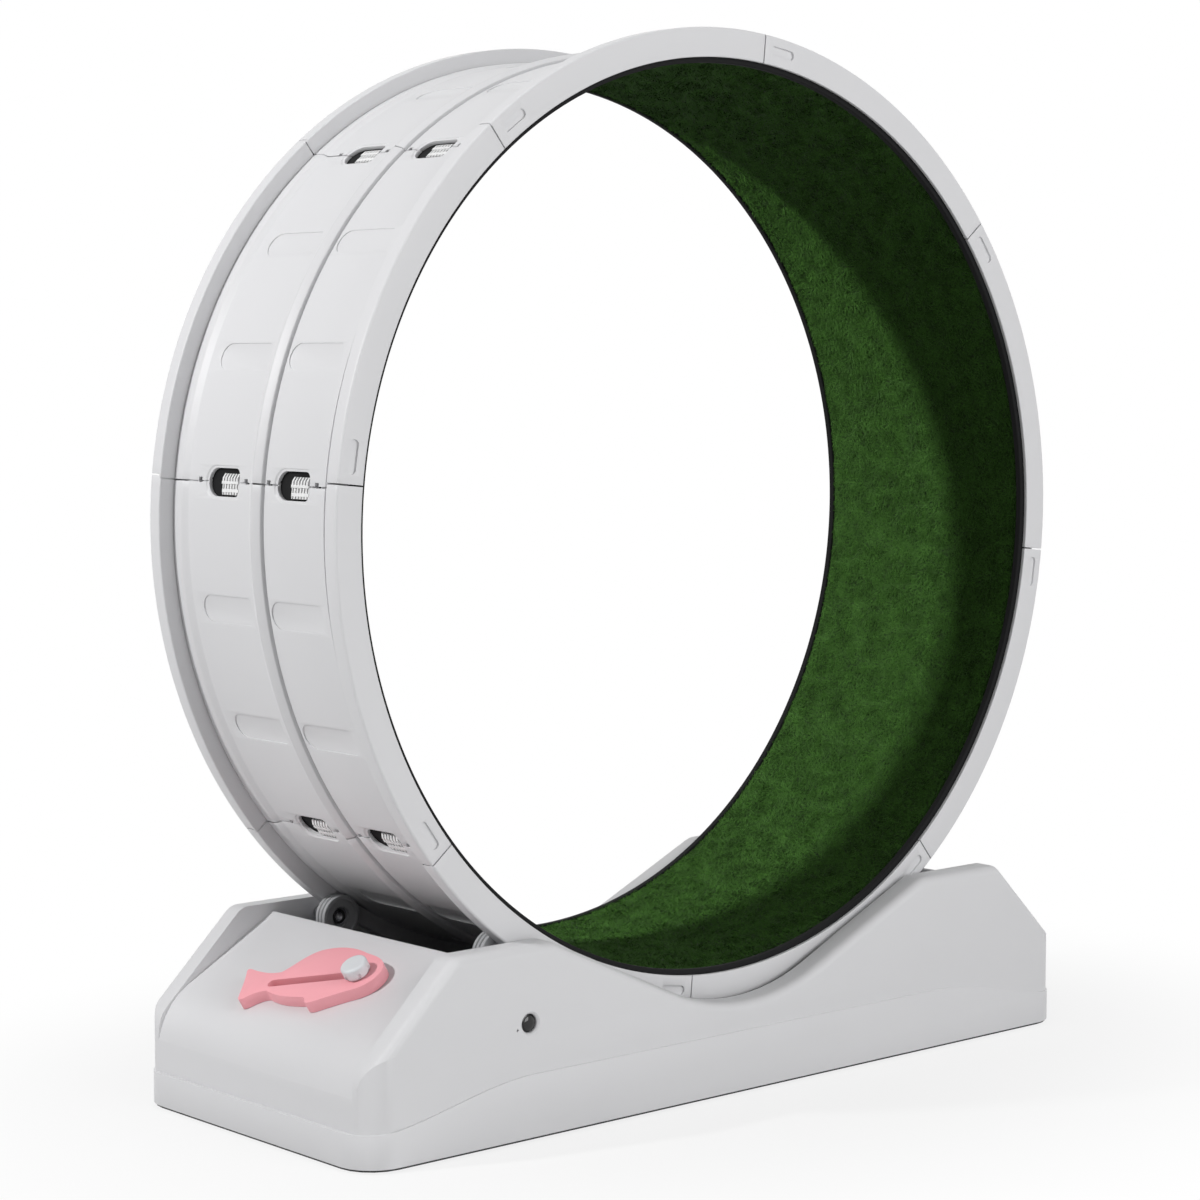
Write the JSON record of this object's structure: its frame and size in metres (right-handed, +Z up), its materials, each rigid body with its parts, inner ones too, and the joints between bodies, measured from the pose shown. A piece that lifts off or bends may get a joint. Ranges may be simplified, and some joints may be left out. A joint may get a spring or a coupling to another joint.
{
  "type": "pet exercise wheel",
  "caption": "Large ring-shaped running wheel with a grass-like mat, moulded rim segments joined by snap clips, turning on rollers in a long trough base with a fish-shaped brake.",
  "frame": {"origin": "centre of the footprint at the floor, under the middle of the wheel", "axes": "+Z up, +Y along the wheel axis towards the back, +X along the base away from the brake"},
  "size_m": [0.7996, 0.306, 0.8725],
  "materials": {
    "grey_plastic": "satin light grey moulding",
    "clip_plastic": "white moulding",
    "mat_rubber": "black foam",
    "turf": "short green artificial grass",
    "black_plastic": "matt black",
    "gloss_black": "gloss black",
    "black_rubber": "matt black",
    "roller_rubber": "grey rubber",
    "steel": "bright",
    "pink_plastic": "satin pink",
    "knob_plastic": "satin grey"
  },
  "bodies": {
    "base": {"base_shell": "grey_plastic", "bottom_plate": "black_plastic", "side_plug": "gloss_black", "rubber_foot_1": "black_rubber", "rubber_foot_2": "black_rubber", "rubber_foot_3": "black_rubber", "rubber_foot_4": "black_rubber", "rubber_foot_5": "black_rubber", "rubber_foot_6": "black_rubber", "roller_axle_front_left": "steel", "roller_axle_back_left": "steel", "roller_axle_front_right": "steel", "roller_axle_back_right": "steel", "roller_retainer_front_left": "black_plastic", "roller_retainer_back_left": "black_plastic", "roller_retainer_front_right": "black_plastic", "roller_retainer_back_right": "black_plastic", "brake_stud": "steel", "brake_washer": "steel"},
    "wheel": {"wheel_segment_1": "grey_plastic", "wheel_segment_2": "grey_plastic", "wheel_segment_3": "grey_plastic", "wheel_segment_4": "grey_plastic", "wheel_segment_5": "grey_plastic", "wheel_segment_6": "grey_plastic", "wheel_segment_7": "grey_plastic", "wheel_segment_8": "grey_plastic", "joint_clip_front_1": "clip_plastic", "joint_clip_front_2": "clip_plastic", "joint_clip_front_3": "clip_plastic", "joint_clip_front_4": "clip_plastic", "joint_clip_front_5": "clip_plastic", "joint_clip_front_6": "clip_plastic", "joint_clip_front_7": "clip_plastic", "joint_clip_front_8": "clip_plastic", "joint_clip_back_1": "clip_plastic", "joint_clip_back_2": "clip_plastic", "joint_clip_back_3": "clip_plastic", "joint_clip_back_4": "clip_plastic", "joint_clip_back_5": "clip_plastic", "joint_clip_back_6": "clip_plastic", "joint_clip_back_7": "clip_plastic", "joint_clip_back_8": "clip_plastic", "mat_backing": "mat_rubber", "turf_mat": "turf"},
    "roller_front_left": {"roller_front_left": "roller_rubber", "roller_bearing_front_left": "steel"},
    "roller_back_left": {"roller_back_left": "roller_rubber", "roller_bearing_back_left": "steel"},
    "roller_front_right": {"roller_front_right": "roller_rubber", "roller_bearing_front_right": "steel"},
    "roller_back_right": {"roller_back_right": "roller_rubber", "roller_bearing_back_right": "steel"},
    "brake_swing": {"brake_bush": "knob_plastic"},
    "brake_fish": {"brake_fish": "pink_plastic"},
    "brake_knob": {"brake_knob": "knob_plastic"}
  },
  "joints": [
    {"name": "wheel_spin", "type": "hinge", "parent": "base", "child": "wheel", "pos_m": [0, 0, 0.4727], "axis": [0, 1, 0], "continuous": true},
    {"name": "roller_spin_front_left", "type": "hinge", "parent": "base", "child": "roller_front_left", "pos_m": [-0.23276, -0.103, 0.14029], "axis": [0, 1, 0], "continuous": true},
    {"name": "roller_spin_back_left", "type": "hinge", "parent": "base", "child": "roller_back_left", "pos_m": [-0.23276, 0.103, 0.14029], "axis": [0, 1, 0], "continuous": true},
    {"name": "roller_spin_front_right", "type": "hinge", "parent": "base", "child": "roller_front_right", "pos_m": [0.23276, -0.103, 0.14029], "axis": [0, 1, 0], "continuous": true},
    {"name": "roller_spin_back_right", "type": "hinge", "parent": "base", "child": "roller_back_right", "pos_m": [0.23276, 0.103, 0.14029], "axis": [0, 1, 0], "continuous": true},
    {"name": "brake_swing", "type": "hinge", "parent": "base", "child": "brake_swing", "pos_m": [-0.32443, -0.055, 0.1207], "axis": [0.515, 0, -0.8572], "range_deg": [0, 60]},
    {"name": "brake_reach", "type": "slide", "parent": "brake_swing", "child": "brake_fish", "axis": [0.3142, -0.9304, 0.1888], "range_m": [0, 0.048]},
    {"name": "knob_turn", "type": "hinge", "parent": "base", "child": "brake_knob", "pos_m": [-0.32443, -0.055, 0.1207], "axis": [-0.515, 0, 0.8572], "range_deg": [0, 360]}
  ],
  "couplings": [
    {"joint": "roller_spin_front_left", "follows": "wheel_spin", "ratio": -20.919},
    {"joint": "roller_spin_back_left", "follows": "wheel_spin", "ratio": -20.919},
    {"joint": "roller_spin_front_right", "follows": "wheel_spin", "ratio": -20.919},
    {"joint": "roller_spin_back_right", "follows": "wheel_spin", "ratio": -20.919}
  ]
}
